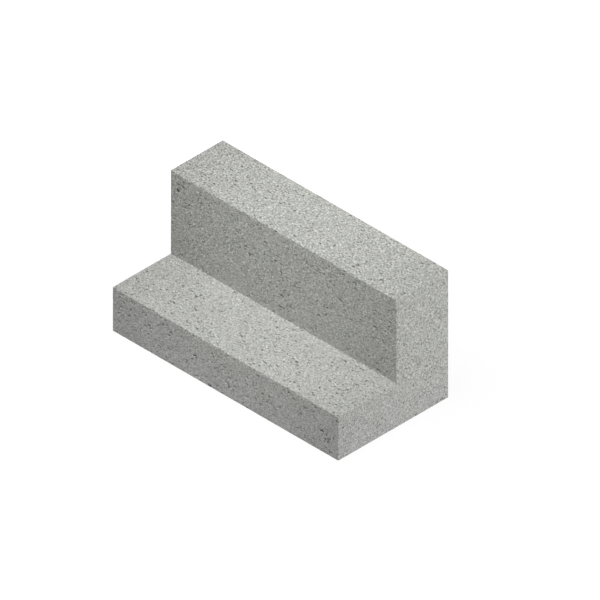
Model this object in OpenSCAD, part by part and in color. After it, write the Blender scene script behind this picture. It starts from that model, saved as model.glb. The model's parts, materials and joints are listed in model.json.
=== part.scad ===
// Solid concrete ledge block: a base slab with an upright along its back,
// which leaves a ledge in front. It is cast as one piece, with no cores.
//
// +X runs along the course, +Y from the ledge to the back and +Z up.
// The origin is on the bed face, at the middle of the length and depth.

/* [Block] */
// Length along the course
block_length = 397; // [150:1:600]
// Depth through the wall, from the ledge's nose to the back face
block_depth = 194; // [150:1:300]
// Height from the bed face to the top face
block_height = 194; // [130:1:300]

/* [Ledge and upright] */
// Thickness of the upright along the back
upright_thickness = 92; // [40:1:130]
// Height of the ledge above the bed face
ledge_height = 67; // [20:1:110]

/* [Arrises] */
// Radius of every outer edge, as the steel mould leaves it
arris_radius = 1; // [0.5:0.25:5]

/* [Hidden] */

// The arcs are true curves, so this only sets how finely a preview draws them
$fn = 32;
half_depth = block_depth / 2;

// A rectangle about the origin with its four corners rounded
module rounded_rectangle(width, height, radius) {
    inner_width = width - 2 * radius;
    inner_height = height - 2 * radius;
    square([inner_width, height], center = true);
    square([width, inner_height], center = true);
    for (x = [-1, 1], y = [-1, 1])
        translate([x * inner_width / 2, y * inner_height / 2])
            circle(r = radius);
}

// A box about the origin with all twelve edges rounded
module eased_box(length, depth, height, radius) {
    intersection() {
        linear_extrude(height, center = true)
            rounded_rectangle(length, depth, radius);
        rotate([90, 0, 0])
            linear_extrude(depth, center = true)
                rounded_rectangle(length, height, radius);
        rotate([90, 0, 90])
            linear_extrude(length, center = true)
                rounded_rectangle(depth, height, radius);
    }
}

// The slab that the whole block beds on; its top in front is the ledge
module base_slab() {
    translate([0, 0, ledge_height / 2])
        eased_box(block_length, block_depth, ledge_height, arris_radius);
}

// The full-height part along the back, cast in one with the slab
module upright() {
    translate([0, half_depth - upright_thickness / 2, block_height / 2])
        eased_box(block_length, upright_thickness, block_height, arris_radius);
}

module ledge_block() {
    color("#aeb0aa") {
        base_slab();
        upright();
    }
}

ledge_block();
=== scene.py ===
# Looks for the solid concrete ledge block: its cast surface, the floor, the lamps and the camera.
import json
import math
import time

import bpy
import numpy as np
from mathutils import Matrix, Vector


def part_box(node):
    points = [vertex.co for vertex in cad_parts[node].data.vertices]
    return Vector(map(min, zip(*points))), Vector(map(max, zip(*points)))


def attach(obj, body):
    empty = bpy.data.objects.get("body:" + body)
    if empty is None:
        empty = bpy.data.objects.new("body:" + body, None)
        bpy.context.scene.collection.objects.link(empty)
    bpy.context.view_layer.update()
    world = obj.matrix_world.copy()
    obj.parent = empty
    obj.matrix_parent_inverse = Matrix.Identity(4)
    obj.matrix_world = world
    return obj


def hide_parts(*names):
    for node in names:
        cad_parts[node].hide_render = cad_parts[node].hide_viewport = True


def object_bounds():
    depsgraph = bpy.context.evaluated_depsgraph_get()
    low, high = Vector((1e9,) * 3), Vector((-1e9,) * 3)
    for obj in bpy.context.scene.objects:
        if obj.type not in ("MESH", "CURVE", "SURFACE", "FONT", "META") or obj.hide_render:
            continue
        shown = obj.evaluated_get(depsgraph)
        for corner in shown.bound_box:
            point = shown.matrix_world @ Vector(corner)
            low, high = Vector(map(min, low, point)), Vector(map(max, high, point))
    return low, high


started = time.time()
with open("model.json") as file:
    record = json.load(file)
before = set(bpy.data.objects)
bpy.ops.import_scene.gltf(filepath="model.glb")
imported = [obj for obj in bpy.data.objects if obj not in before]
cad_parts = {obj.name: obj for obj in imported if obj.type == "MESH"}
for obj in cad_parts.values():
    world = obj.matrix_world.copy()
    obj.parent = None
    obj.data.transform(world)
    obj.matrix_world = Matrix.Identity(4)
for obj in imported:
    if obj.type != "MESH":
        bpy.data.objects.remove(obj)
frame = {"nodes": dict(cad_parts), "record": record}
cadBox = [list(corner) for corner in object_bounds()]
print("frame loaded:", sorted(frame["nodes"]))

millimetre = 0.001


def srgbToLinear(hexColour):
    channels = [int(hexColour[i:i + 2], 16) / 255 for i in (1, 3, 5)]
    return [c / 12.92 if c <= 0.04045 else ((c + 0.055) / 1.055) ** 2.4 for c in channels] + [1]


def addNode(tree, kind, inputs=None, **settings):
    # an input is a plain value, a socket, or another node, whose first output it takes
    node = tree.nodes.new(kind)
    for name, value in settings.items():
        setattr(node, name, value)
    for socket, value in (inputs or {}).items():
        if isinstance(value, bpy.types.Node):
            value = value.outputs[0]
        if isinstance(value, bpy.types.NodeSocket):
            tree.links.new(value, node.inputs[socket])
        else:
            node.inputs[socket].default_value = value
    return node


# Patterns of hollows, where the stiff mix bridged over a void as it was packed. The open pits are in the
# block's relief as well as in its colour, so each dark pit is a real hollow, painted darker with dirt and
# shade.
# Pinholes are only in the colour and the bump, so their dark colour is painted shade and dirt.
openPits = {
    "drawn": (2.7, 1, 1),               # how much longer they are along the block
    "spacing": 4.0 * millimetre,        # size of a cell, which may hold one hollow
    "wander": 2.6 * millimetre,         # how far the outline strays from round
    "wanderGrain": 3.4 * millimetre,    # over what length it strays
    "crowding": 0.6,                    # how strongly hollows keep together
    "crowdGrain": 38 * millimetre,      # size of the patches where they do
    "empty": 0.35,                      # share of cells with no hollow
    "widest": 0.32,                     # largest radius, in cells
    "rim": 0.06,                        # width of the sloping wall, in cells
    "bottomTone": 0.24,                 # how much of the paste's brightness is left at the bottom, under dirt and painted shade
}
pinholes = {
    "drawn": (2.3, 1, 1),
    "spacing": 2.5 * millimetre,
    "wander": 1.5 * millimetre,
    "wanderGrain": 1.9 * millimetre,
    "crowding": 0.6,
    "crowdGrain": 26 * millimetre,
    "empty": 0.44,
    "widest": 0.4,
    "rim": 0.1,
    "bottomTone": 0.28,
}
askew = {"Axis": (0.5, 0.7, 0.3), "Angle": 0.8}     # so that no flat face lies along a pattern's own grid


def turnPattern(tree, spot, drawn=(1, 1, 1)):
    shrink = [1 / stretch for stretch in drawn]
    squeezed = addNode(tree, "ShaderNodeVectorMath", {0: spot, 1: shrink}, operation="MULTIPLY")
    return addNode(tree, "ShaderNodeVectorRotate", {"Vector": squeezed, **askew}, rotation_type="AXIS_ANGLE")


def addHollows(tree, spot, kind):
    # 0 on the plain surface, rising to 1 at the bottom of a hollow
    turned = turnPattern(tree, spot, kind["drawn"])
    stray = addNode(tree, "ShaderNodeTexNoise",
                    {"Vector": turned, "Scale": 1 / kind["wanderGrain"], "Detail": 1})
    centred = addNode(tree, "ShaderNodeVectorMath", {0: stray.outputs["Color"], 1: (0.5, 0.5, 0.5)},
                      operation="SUBTRACT")
    moved = addNode(tree, "ShaderNodeVectorMath", {0: centred, 1: (kind["wander"],) * 3, 2: turned},
                    operation="MULTIPLY_ADD")
    cells = addNode(tree, "ShaderNodeTexVoronoi", {"Vector": moved, "Scale": 1 / kind["spacing"]})
    draw = addNode(tree, "ShaderNodeSeparateXYZ", {0: cells.outputs["Color"]})
    crowd = addNode(tree, "ShaderNodeTexNoise",
                    {"Vector": turned, "Scale": 1 / kind["crowdGrain"], "Detail": 1})
    chance = addNode(tree, "ShaderNodeMath", {0: crowd, 1: kind["crowding"], 2: -kind["crowding"] / 2},
                     operation="MULTIPLY_ADD")
    luck = addNode(tree, "ShaderNodeMath", {0: draw, 1: chance}, operation="ADD")
    radius = addNode(tree, "ShaderNodeMapRange",
                     {"Value": luck, "From Min": kind["empty"], "From Max": 1, "To Min": 0,
                      "To Max": kind["widest"]})
    inside = addNode(tree, "ShaderNodeMath", {0: radius, 1: cells.outputs["Distance"]}, operation="SUBTRACT")
    return addNode(tree, "ShaderNodeMapRange", {"Value": inside, "From Min": 0, "From Max": kind["rim"]},
                   interpolation_type="SMOOTHSTEP")


# Dense concrete, dry-cast in a steel mould: matt grey cement paste over sharp sand. To the eye it is dull and
# gritty. The sand's grains differ in tone, with painted shade in the gaps between them, and the hollows are
# painted dark with dirt and shade. Most of its sand is finer than a view of the whole block shows, so grain
# and crumb are drawn coarse enough to show. Tones are shares of the paste's brightness.
concreteLook = {
    "paste": "#b2b3ae",
    "bedPaste": "#b3b3b1",          # a little cooler and more neutral towards the bottom
    "bedReach": (105 * millimetre, -15 * millimetre),   # heights where the bed's colour starts and is full
    "bedWave": 80 * millimetre,     # how far those heights stray up and down
    "batch": 40 * millimetre,       # and over what length
    "mottle": 14 * millimetre,      # clouds in the paste
    "mottleTone": (0.965, 1.035),
    "paintedLengthShade": (1.05, 0.9),      # painted shade where the light falls off, from the middle of the length to the ends
    "paintedNoseShade": 0.965,              # painted shade where the light falls off, darkest at the front on the ledge's nose and gone by the middle of the depth
    "leftEndTone": 0.955,              # darker towards the left end
    "leftEndReach": 80 * millimetre,   # how far that goes

    "drawn": (1.8, 1.1, 1),         # how much longer the grain is along the block, as the mould drew it
    "grain": 0.95 * millimetre,     # single grains of sand
    "grainTone": (0.82, 1.18),
    "gapReach": (0.15, 0.75),       # from a grain's crown to the gap beside it, in grains
    # painted shade: lighter on a grain's crown, darker in the gap beside it
    "gapPaintedShade": (1.32, 0.82),
    "crumb": 1.5 * millimetre,      # lumps of sand and paste
    "crumbTone": (0.65, 1.35),
    "grit": 0.4 * millimetre,       # the finest sand, which shows only from close by
    "gritTone": (0.705, 1.305),
    "evenTone": 1.015,              # what the grain fades to where it is calmer

    "calmReach": (110 * millimetre, 55 * millimetre),   # heights between which the grain grows calmer
    "contrast": (1.12, 0.86),       # of the grain, above them and below
    "hollowShade": (0.88, 1),       # dirt and painted shade in the hollows, above those heights and below
    "endReach": 1.5 * millimetre,   # depth of the skin on both ends, which the mould's plates rubbed
    "endScale": 0.65,               # its pattern is coarser
    "endContrast": (0.81, 0.86),    # and calmer

    "grainBump": (-0.8, 0.5),       # heights, in parts of the bump's depth: each grain falls off to its gap
    "crumbBump": 0.4,
    "holeBump": -1.6,               # of the pinholes; the open pits are in the mesh
    "gritBump": 0.5,
    "bumpDepth": 0.35 * millimetre,
    "bumpStrength": 0.7,
    "roughness": 0.93,
    "specular": 0.3,                # porous, so it reflects less than its IOR alone would give
}
noiseReach = (0.2, 0.8)     # nearly all that a noise gives lies in here


def addPaste(tree, level):
    look = concreteLook
    bedShare = addNode(tree, "ShaderNodeMapRange",
                       {"Value": level, "From Min": look["bedReach"][0], "From Max": look["bedReach"][1]},
                       interpolation_type="SMOOTHSTEP")
    # a colour mix is fed by socket number, because its names repeat for each type of data
    mixed = addNode(tree, "ShaderNodeMix",
                    {0: bedShare, 6: srgbToLinear(look["paste"]), 7: srgbToLinear(look["bedPaste"])},
                    data_type="RGBA")
    return mixed.outputs[2]


def addSlowTones(tree, turned, along, across):
    # slow changes of tone over the block: clouds in the paste, painted shade where the light falls off along
    # the length and towards the front, and a darker left end
    look = concreteLook
    mottle = addNode(tree, "ShaderNodeTexNoise",
                     {"Vector": turned, "Scale": 1 / look["mottle"], "Detail": 2})
    mottleTone = addNode(tree, "ShaderNodeMapRange",
                         {"Value": mottle, "From Min": noiseReach[0], "From Max": noiseReach[1],
                          "To Min": look["mottleTone"][0], "To Max": look["mottleTone"][1]})
    share = addNode(tree, "ShaderNodeMath", {0: along, 1: 1 / cadBox[1][0]}, operation="MULTIPLY")
    square = addNode(tree, "ShaderNodeMath", {0: share, 1: 2}, operation="POWER")
    # painted shade: brighter in the middle of the length, darker towards the ends, as the light falls off
    paintedLengthShade = addNode(tree, "ShaderNodeMapRange",
                         {"Value": square, "To Min": look["paintedLengthShade"][0], "To Max": look["paintedLengthShade"][1]})
    # painted shade, darker towards the front face and the ledge's nose
    paintedNoseShade = addNode(tree, "ShaderNodeMapRange",
                       {"Value": across, "From Min": cadBox[0][1], "From Max": 0,
                        "To Min": look["paintedNoseShade"], "To Max": 1})
    leftEnd = cadBox[0][0]
    # darker towards the left end
    leftEndTone = addNode(tree, "ShaderNodeMapRange",
                       {"Value": along, "From Min": leftEnd, "From Max": leftEnd + look["leftEndReach"],
                        "To Min": look["leftEndTone"], "To Max": 1})
    return mottleTone, paintedLengthShade, paintedNoseShade, leftEndTone


def addSand(tree, spot, isEnd):
    # sand grains, painted shade in the gaps between them, lumps of sand and paste, and the finest grit
    look = concreteLook
    scale = addNode(tree, "ShaderNodeMapRange", {"Value": isEnd, "To Min": 1, "To Max": look["endScale"]})
    turned = addNode(tree, "ShaderNodeVectorMath",
                     {0: turnPattern(tree, spot, look["drawn"]), "Scale": scale}, operation="SCALE")
    sand = addNode(tree, "ShaderNodeTexVoronoi", {"Vector": turned, "Scale": 1 / look["grain"]})
    crumb = addNode(tree, "ShaderNodeTexNoise", {"Vector": turned, "Scale": 1 / look["crumb"], "Detail": 0})
    grit = addNode(tree, "ShaderNodeTexNoise", {"Vector": spot, "Scale": 1 / look["grit"], "Detail": 2})
    draw = addNode(tree, "ShaderNodeSeparateXYZ", {0: sand.outputs["Color"]})
    tone = addNode(tree, "ShaderNodeMapRange",
                   {"Value": draw.outputs[1], "To Min": look["grainTone"][0], "To Max": look["grainTone"][1]})
    # the gaps' part is painted shade between the grains; crumb and grit are the sand's own tone
    for source, reach, tones in ((sand, look["gapReach"], look["gapPaintedShade"]),
                                 (crumb, noiseReach, look["crumbTone"]),
                                 (grit, noiseReach, look["gritTone"])):
        part = addNode(tree, "ShaderNodeMapRange",
                       {"Value": source, "From Min": reach[0], "From Max": reach[1],
                        "To Min": tones[0], "To Max": tones[1]})
        tone = addNode(tree, "ShaderNodeMath", {0: tone, 1: part}, operation="MULTIPLY")

    slope, crown = look["grainBump"]
    height = addNode(tree, "ShaderNodeMath", {0: sand, 1: slope, 2: crown}, operation="MULTIPLY_ADD")
    for source, bump in ((crumb, look["crumbBump"]), (grit, look["gritBump"])):
        height = addNode(tree, "ShaderNodeMath", {0: source, 1: bump, 2: height}, operation="MULTIPLY_ADD")
    return tone, height


def makeConcrete():
    look = concreteLook
    material = bpy.data.materials.new("dryCastConcrete")
    material.use_nodes = True
    tree = material.node_tree
    shader = tree.nodes["Principled BSDF"]
    spot = addNode(tree, "ShaderNodeTexCoord").outputs["Object"]
    along, across, up = addNode(tree, "ShaderNodeSeparateXYZ", {0: spot}).outputs
    turned = turnPattern(tree, spot)

    # the height above the bed, with a wavy border between what is low and what is high
    batch = addNode(tree, "ShaderNodeTexNoise",
                    {"Vector": turned, "Scale": 1 / look["batch"], "Detail": 3, "Roughness": 0.7})
    wave = addNode(tree, "ShaderNodeMapRange",
                   {"Value": batch, "To Min": -look["bedWave"], "To Max": look["bedWave"]})
    level = addNode(tree, "ShaderNodeMath", {0: up, 1: wave}, operation="ADD")
    low = addNode(tree, "ShaderNodeMapRange",
                  {"Value": level, "From Min": look["calmReach"][0], "From Max": look["calmReach"][1]})
    outward = addNode(tree, "ShaderNodeMath", {0: along}, operation="ABSOLUTE")
    isEnd = addNode(tree, "ShaderNodeMath", {0: outward, 1: cadBox[1][0] - look["endReach"]},
                    operation="GREATER_THAN")

    # the grain, with its contrast by height and on the ends
    rubbed = addNode(tree, "ShaderNodeMapRange",
                     {"Value": low, "To Min": look["endContrast"][0], "To Max": look["endContrast"][1]})
    endCalm = addNode(tree, "ShaderNodeMapRange", {"Value": isEnd, "To Min": 1, "To Max": rubbed})
    contrast = addNode(tree, "ShaderNodeMapRange",
                       {"Value": low, "To Min": look["contrast"][0], "To Max": look["contrast"][1]})
    kept = addNode(tree, "ShaderNodeMath", {0: contrast, 1: endCalm}, operation="MULTIPLY")
    grainy, height = addSand(tree, spot, isEnd)
    tone = addNode(tree, "ShaderNodeMix", {0: kept, 2: look["evenTone"], 3: grainy}, clamp_factor=False)
    for part in addSlowTones(tree, turned, along, across):
        tone = addNode(tree, "ShaderNodeMath", {0: tone, 1: part}, operation="MULTIPLY")

    # dirt and painted shade in the hollows
    hollowDirtAndShade = addNode(tree, "ShaderNodeMapRange",
                   {"Value": low, "To Min": look["hollowShade"][0], "To Max": look["hollowShade"][1]})
    shade = addNode(tree, "ShaderNodeMath", {0: hollowDirtAndShade, 1: endCalm}, operation="MULTIPLY")
    pits = addHollows(tree, spot, openPits)
    holes = addHollows(tree, spot, pinholes)
    for hollow, bottomTone in ((pits, openPits["bottomTone"]), (holes, pinholes["bottomTone"])):
        seen = addNode(tree, "ShaderNodeMath", {0: hollow, 1: shade}, operation="MULTIPLY")
        hollowTone = addNode(tree, "ShaderNodeMapRange", {"Value": seen, "To Min": 1, "To Max": bottomTone})
        tone = addNode(tree, "ShaderNodeMath", {0: tone, 1: hollowTone}, operation="MULTIPLY")
    height = addNode(tree, "ShaderNodeMath", {0: holes, 1: look["holeBump"], 2: height},
                     operation="MULTIPLY_ADD")

    coloured = addNode(tree, "ShaderNodeVectorMath", {0: addPaste(tree, level), "Scale": tone},
                       operation="SCALE")
    bump = addNode(tree, "ShaderNodeBump",
                   {"Height": height, "Strength": look["bumpStrength"], "Distance": look["bumpDepth"]})
    tree.links.new(coloured.outputs[0], shader.inputs["Base Color"])
    tree.links.new(bump.outputs[0], shader.inputs["Normal"])
    shader.inputs["Roughness"].default_value = look["roughness"]
    shader.inputs["Specular IOR Level"].default_value = look["specular"]
    return material


# The block's mesh. Its sizes come from the frame: the node's box and the mounts on the ledge and riser.
block = {
    "arris": 1.0 * millimetre,      # radius of the outer edges
    "arrisSteps": 3,
    "grid": 1.3 * millimetre,       # spacing of the surface before it is thinned
    "triangles": 190000,            # about what is left after it
    "grainDepth": 0.12 * millimetre,
    "grainSize": 3.2 * millimetre,
    "pitDepth": 1.3 * millimetre,
    "arrisPit": 0.2,                # share of that depth on an arris, which stays whole
    "nickSize": 4 * millimetre,
    "nickDepth": 0.3 * millimetre,
    "nickReach": 1.8 * millimetre,  # how far from an arris the nicks and the shallow pits go
    "nickStart": 0.45,              # the noise starts to nick here, of 1
    "nickFull": 0.8,                # and nicks to the full depth here
    "mapGap": 4 * millimetre,       # bare strip between faces on the texture map
    "mapName": "OFBake",
}
squareEdge = math.radians(60)       # an edge that turns by more than this gets an arris
easedEdge = math.radians(15)        # an edge that turns by more than this is on one


def selectFaces(piece, test):
    bpy.ops.mesh.select_all(action="DESELECT")
    bpy.ops.object.mode_set(mode="OBJECT")
    for face in piece.data.polygons:
        face.select = test(face.center, face.normal)
    bpy.ops.object.mode_set(mode="EDIT")


def cutStretch(piece, axis, start, end):
    # cuts the edges that run along this axis, between two planes, until they are about the grid's length
    others = [i for i in range(3) if i != axis]
    longest = 1.5 * block["grid"]   # an edge up to this long stays whole
    straight = 1 / 50               # an edge runs along the axis if it strays from it by less than this share
    most = 24                       # pieces that one pass cuts an edge into
    while True:
        bpy.ops.mesh.select_all(action="DESELECT")
        bpy.ops.object.mode_set(mode="OBJECT")
        mesh = piece.data
        points = np.empty(len(mesh.vertices) * 3, np.float32)
        mesh.vertices.foreach_get("co", points)
        ends = np.empty(len(mesh.edges) * 2, np.int32)
        mesh.edges.foreach_get("vertices", ends)
        a, b = points.reshape(-1, 3)[ends.reshape(-1, 2)].transpose(1, 0, 2)
        middle = (a + b)[:, axis] / 2
        length = np.abs(b - a)[:, axis]
        aside = np.abs(b - a)[:, others].max(1)
        chosen = (middle > start) & (middle < end) & (length > longest) & (aside < length * straight)
        if chosen.any():
            mesh.edges.foreach_set("select", chosen)
        bpy.ops.object.mode_set(mode="EDIT")
        if not chosen.any():
            break
        parts = round(float(length[chosen].max()) / block["grid"])
        bpy.ops.mesh.subdivide(number_cuts=min(parts, most) - 1)


def unwrapBlock(piece, low, high, riserFace, ledgeTop):
    # lays each face flat on one square map at one scale, while the mesh is still simple
    size, gap = high - low, block["mapGap"]
    column = size.x + gap
    bedRow, backRow = 0, size.y + gap
    riserRow = backRow + size.z + gap
    ledgeRow = riserRow + high.z - ledgeTop + gap
    noseRow = ledgeRow + riserFace - low.y + gap
    side = noseRow + ledgeTop
    uvs = piece.data.uv_layers.new(name=block["mapName"]).uv
    for face in piece.data.polygons:
        middle, normal = face.center, face.normal
        axis = max(range(3), key=lambda i: abs(normal[i]))
        for loop in face.loop_indices:
            x, y, z = piece.data.vertices[piece.data.loops[loop].vertex_index].co - low
            if axis == 0:
                across, along = column + y, z + (normal.x > 0) * (size.z + gap)
            elif axis == 1 and normal.y > 0:
                across, along = x, backRow + z
            elif axis == 1 and middle.z > ledgeTop - low.z:
                across, along = x, riserRow + z - ledgeTop
            elif axis == 1:
                across, along = x, noseRow + z
            elif normal.z < 0:
                across, along = x, bedRow + y
            elif middle.z < high.z - ledgeTop / 2:
                across, along = x, ledgeRow + y
            else:
                across, along = column + size.y + gap + y - (riserFace - low.y), x
            uvs[loop].vector = ((across + gap / 2) / (side + gap), (along + gap / 2) / (side + gap))


def makeRelief():
    # sinks the surface along its normals: grain everywhere, open pits, and nicks along the arrises
    tree = bpy.data.node_groups.new("castRelief", "GeometryNodeTree")
    tree.interface.new_socket("Geometry", in_out="INPUT", socket_type="NodeSocketGeometry")
    tree.interface.new_socket("Geometry", in_out="OUTPUT", socket_type="NodeSocketGeometry")
    surface = addNode(tree, "NodeGroupInput")
    spot = addNode(tree, "GeometryNodeInputPosition")
    normal = addNode(tree, "GeometryNodeInputNormal")

    angle = addNode(tree, "GeometryNodeInputMeshEdgeAngle").outputs["Signed Angle"]
    isArris = addNode(tree, "FunctionNodeCompare", {0: angle, 1: easedEdge}, operation="GREATER_THAN")
    arrises = addNode(tree, "GeometryNodeSeparateGeometry", {0: surface, 1: isArris}, domain="EDGE")
    away = addNode(tree, "GeometryNodeProximity", {0: arrises}, target_element="EDGES")
    edgeShare = addNode(tree, "ShaderNodeMapRange",
                        {"Value": away.outputs["Distance"], "From Max": block["nickReach"], "To Min": 1,
                         "To Max": 0}, interpolation_type="SMOOTHSTEP")
    nicks = addNode(tree, "ShaderNodeTexNoise",
                    {"Vector": spot, "Scale": 1 / block["nickSize"], "Detail": 2})
    nickDepth = addNode(tree, "ShaderNodeMapRange",
                        {"Value": nicks, "From Min": block["nickStart"], "From Max": block["nickFull"],
                         "To Min": 0, "To Max": block["nickDepth"]})
    nicked = addNode(tree, "ShaderNodeMath", {0: edgeShare, 1: nickDepth}, operation="MULTIPLY")

    grain = addNode(tree, "ShaderNodeTexNoise",
                    {"Vector": spot, "Scale": 1 / block["grainSize"], "Detail": 2})
    grained = addNode(tree, "ShaderNodeMath", {0: grain, 1: block["grainDepth"], 2: nicked},
                      operation="MULTIPLY_ADD")
    pitDepth = addNode(tree, "ShaderNodeMapRange",
                       {"Value": edgeShare, "To Min": block["pitDepth"],
                        "To Max": block["arrisPit"] * block["pitDepth"]})
    pitted = addNode(tree, "ShaderNodeMath",
                     {0: addHollows(tree, spot, openPits), 1: pitDepth, 2: grained},
                     operation="MULTIPLY_ADD")
    inward = addNode(tree, "ShaderNodeMath", {0: pitted, 1: -1}, operation="MULTIPLY")
    offset = addNode(tree, "ShaderNodeVectorMath", {0: normal, "Scale": inward}, operation="SCALE")
    moved = addNode(tree, "GeometryNodeSetPosition", {"Geometry": surface, "Offset": offset})
    addNode(tree, "NodeGroupOutput", {0: moved})
    return tree


def makeBlock(material):
    low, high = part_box("ledge_block")
    mounts = {mount["name"]: mount["pos_m"] for mount in frame["record"]["mounts"]}
    ledgeTop = mounts["ledge_seat"][2]
    riserFace = mounts["ledge_riser"][1]
    size = high - low
    near = 0.1 * millimetre

    bpy.ops.object.select_all(action="DESELECT")
    bpy.ops.mesh.primitive_cube_add(size=1, location=(0, (low.y + high.y) / 2, ledgeTop / 2),
                                    scale=(size.x, size.y, ledgeTop))
    piece = bpy.context.active_object
    piece.name = "cast_block"
    bpy.ops.object.transform_apply(location=True, rotation=True, scale=True)

    # raise the upright out of the back part of the slab
    bpy.ops.object.mode_set(mode="EDIT")
    bpy.ops.mesh.select_mode(type="FACE")
    bpy.ops.mesh.select_all(action="SELECT")
    bpy.ops.mesh.bisect(plane_co=(0, riserFace, 0), plane_no=(0, 1, 0))
    selectFaces(piece, lambda middle, normal: normal.z > 0.9 and middle.y > riserFace)
    bpy.ops.mesh.extrude_region_move(TRANSFORM_OT_translate={"value": (0, 0, high.z - ledgeTop)})

    # ease every outer edge, and leave the inner corner sharp
    bpy.ops.mesh.select_mode(type="EDGE")
    bpy.ops.mesh.select_all(action="DESELECT")
    bpy.ops.mesh.edges_select_sharp(sharpness=squareEdge)
    bpy.ops.object.mode_set(mode="OBJECT")
    points = piece.data.vertices
    for edge in piece.data.edges:
        ends = [points[i].co for i in edge.vertices]
        if all(abs(p.y - riserFace) < near and abs(p.z - ledgeTop) < near for p in ends):
            edge.select = False
    bpy.ops.object.mode_set(mode="EDIT")
    bpy.ops.mesh.bevel(offset=block["arris"], offset_type="OFFSET", segments=block["arrisSteps"], profile=0.5,
                       affect="EDGES")
    bpy.ops.mesh.select_all(action="SELECT")
    bpy.ops.mesh.normals_make_consistent(inside=False)

    bpy.ops.object.mode_set(mode="OBJECT")
    unwrapBlock(piece, low, high, riserFace, ledgeTop)
    bpy.ops.object.mode_set(mode="EDIT")
    print(f"block outline done at {time.time() - started:.1f} s")

    # cut it into a fine, even grid
    for axis, start, end in ((0, low.x, high.x), (1, low.y, riserFace), (1, riserFace, high.y),
                             (2, low.z, ledgeTop), (2, ledgeTop, high.z)):
        cutStretch(piece, axis, start, end)
    bpy.ops.object.mode_set(mode="OBJECT")
    print(f"grid done at {time.time() - started:.1f} s, {len(piece.data.polygons)} faces")

    relief = piece.modifiers.new("relief", "NODES")
    relief.node_group = makeRelief()
    bpy.ops.object.modifier_apply(modifier=relief.name)
    print(f"relief done at {time.time() - started:.1f} s")

    thin = piece.modifiers.new("thin", "DECIMATE")
    thin.ratio = block["triangles"] / (2 * len(piece.data.polygons))
    thin.use_collapse_triangulate = True
    bpy.ops.object.modifier_apply(modifier=thin.name)
    bpy.ops.object.shade_smooth()
    piece.data.materials.append(material)
    print(f"thinned at {time.time() - started:.1f} s, {len(piece.data.polygons)} triangles")
    return piece


concrete = makeConcrete()
print(f"concrete ready at {time.time() - started:.1f} s")
piece = makeBlock(concrete)
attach(piece, "root")
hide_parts("ledge_block")


# A plain pale floor. The camera sees it nearly white, and it still takes the block's shadow.
studio = {
    "floorSize": 12,
    "floorColour": "#bcbcbc",
    "floorRoughness": 0.9,
    "glowShare": (0.92, 1),         # of plain white in what the camera sees, by the block and far off
    "glowStrength": (1.04, 1.2),    # of that white, by the block and far off
    "glowReach": (0.28, 0.42),      # metres from the middle where the shadow ends and far off starts
    "fill": 0.2,                    # light from all round
    "lamps": {
        # place, size and power of each soft square lamp, which points at the block
        "overhead": ((0, -1.2, 4.4), 1.6, 167),
        "side": ((1.4, 0.5, 0.15), 0.3, 11),
        "front": ((-1.2, -2.2, 1.8), 1.2, 8.6),
        "behind": ((-2.2, 2.2, 0.9), 1.8, 16),
    },
}
white = (1, 1, 1, 1)


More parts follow.
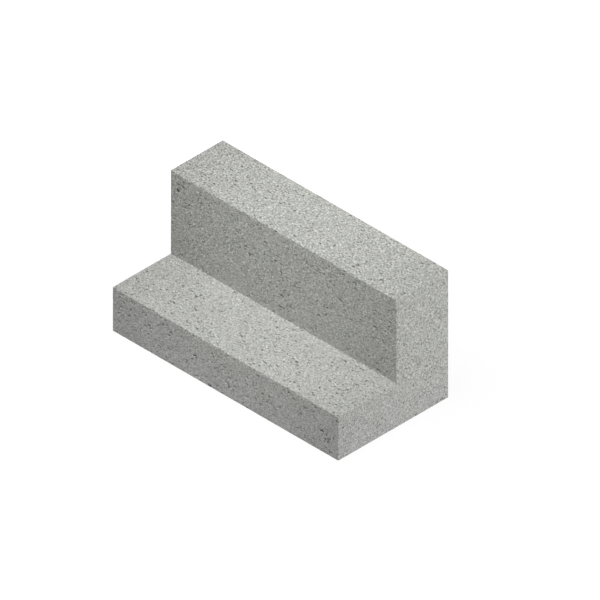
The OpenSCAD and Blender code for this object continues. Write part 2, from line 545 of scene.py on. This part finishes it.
def makeFloor():
    bpy.ops.object.select_all(action="DESELECT")
    bpy.ops.mesh.primitive_plane_add(size=studio["floorSize"])
    floor = bpy.context.active_object
    floor.name = "studio_floor"
    material = bpy.data.materials.new("paleStudioFloor")
    material.use_nodes = True
    tree = material.node_tree
    shader = tree.nodes["Principled BSDF"]
    shader.inputs["Base Color"].default_value = srgbToLinear(studio["floorColour"])
    shader.inputs["Roughness"].default_value = studio["floorRoughness"]
    shader.inputs["Specular IOR Level"].default_value = 0
    spot = addNode(tree, "ShaderNodeTexCoord").outputs["Object"]
    away = addNode(tree, "ShaderNodeVectorMath", {0: spot}, operation="LENGTH").outputs["Value"]
    far = addNode(tree, "ShaderNodeMapRange",
                  {"Value": away, "From Min": studio["glowReach"][0], "From Max": studio["glowReach"][1]})
    share = addNode(tree, "ShaderNodeMapRange",
                    {"Value": far, "To Min": studio["glowShare"][0], "To Max": studio["glowShare"][1]})
    strength = addNode(tree, "ShaderNodeMapRange",
                       {"Value": far, "To Min": studio["glowStrength"][0],
                        "To Max": studio["glowStrength"][1]})
    glow = addNode(tree, "ShaderNodeEmission", {"Color": white, "Strength": strength})
    seen = addNode(tree, "ShaderNodeLightPath").outputs["Is Camera Ray"]
    glowing = addNode(tree, "ShaderNodeMath", {0: seen, 1: share}, operation="MULTIPLY")
    mixed = addNode(tree, "ShaderNodeMixShader", {0: glowing, 1: shader, 2: glow})
    tree.links.new(mixed.outputs[0], tree.nodes["Material Output"].inputs["Surface"])
    floor.data.materials.append(material)


def makeLight():
    world = bpy.data.worlds.new("softStudio")
    bpy.context.scene.world = world
    world.use_nodes = True
    tree = world.node_tree
    back = tree.nodes["Background"]
    back.inputs["Color"].default_value = white
    seen = addNode(tree, "ShaderNodeLightPath").outputs["Is Camera Ray"]
    level = addNode(tree, "ShaderNodeMapRange", {"Value": seen, "To Min": studio["fill"], "To Max": 1})
    tree.links.new(level.outputs[0], back.inputs["Strength"])

    middle = Vector((0, 0, cadBox[1][2] / 2))
    for name, (place, size, power) in studio["lamps"].items():
        bpy.ops.object.light_add(type="AREA", location=place,
                                 rotation=(Vector(place) - middle).to_track_quat("Z", "Y").to_euler())
        lamp = bpy.context.active_object
        lamp.name = name
        lamp.data.size = size
        lamp.data.energy = power


# A long way off and without perspective, down the corner of a cube, so that all three axes show alike.
camera = {
    "azimuth": math.radians(45),
    "elevation": math.atan(math.sqrt(0.5)),
    "distance": 2.5,
    "width": 0.7459,    # metres across the frame
    "aside": 0.02424,   # the block stands a little left of the middle
    "above": 0.00055,
}


def makeCamera():
    az, el = camera["azimuth"], camera["elevation"]
    back = Vector((math.sin(az) * math.cos(el), -math.cos(az) * math.cos(el), math.sin(el)))
    right = Vector((math.cos(az), math.sin(az), 0))
    up = back.cross(right)
    middle = (Vector(cadBox[0]) + Vector(cadBox[1])) / 2
    place = middle + right * camera["aside"] + up * camera["above"] + back * camera["distance"]
    bpy.ops.object.camera_add(location=place, rotation=back.to_track_quat("Z", "Y").to_euler())
    seer = bpy.context.active_object
    seer.data.type = "ORTHO"
    seer.data.ortho_scale = camera["width"]
    bpy.context.scene.camera = seer


makeFloor()
makeLight()
makeCamera()
bpy.context.scene.view_settings.view_transform = "Standard"
print(f"studio and camera done at {time.time() - started:.1f} s")
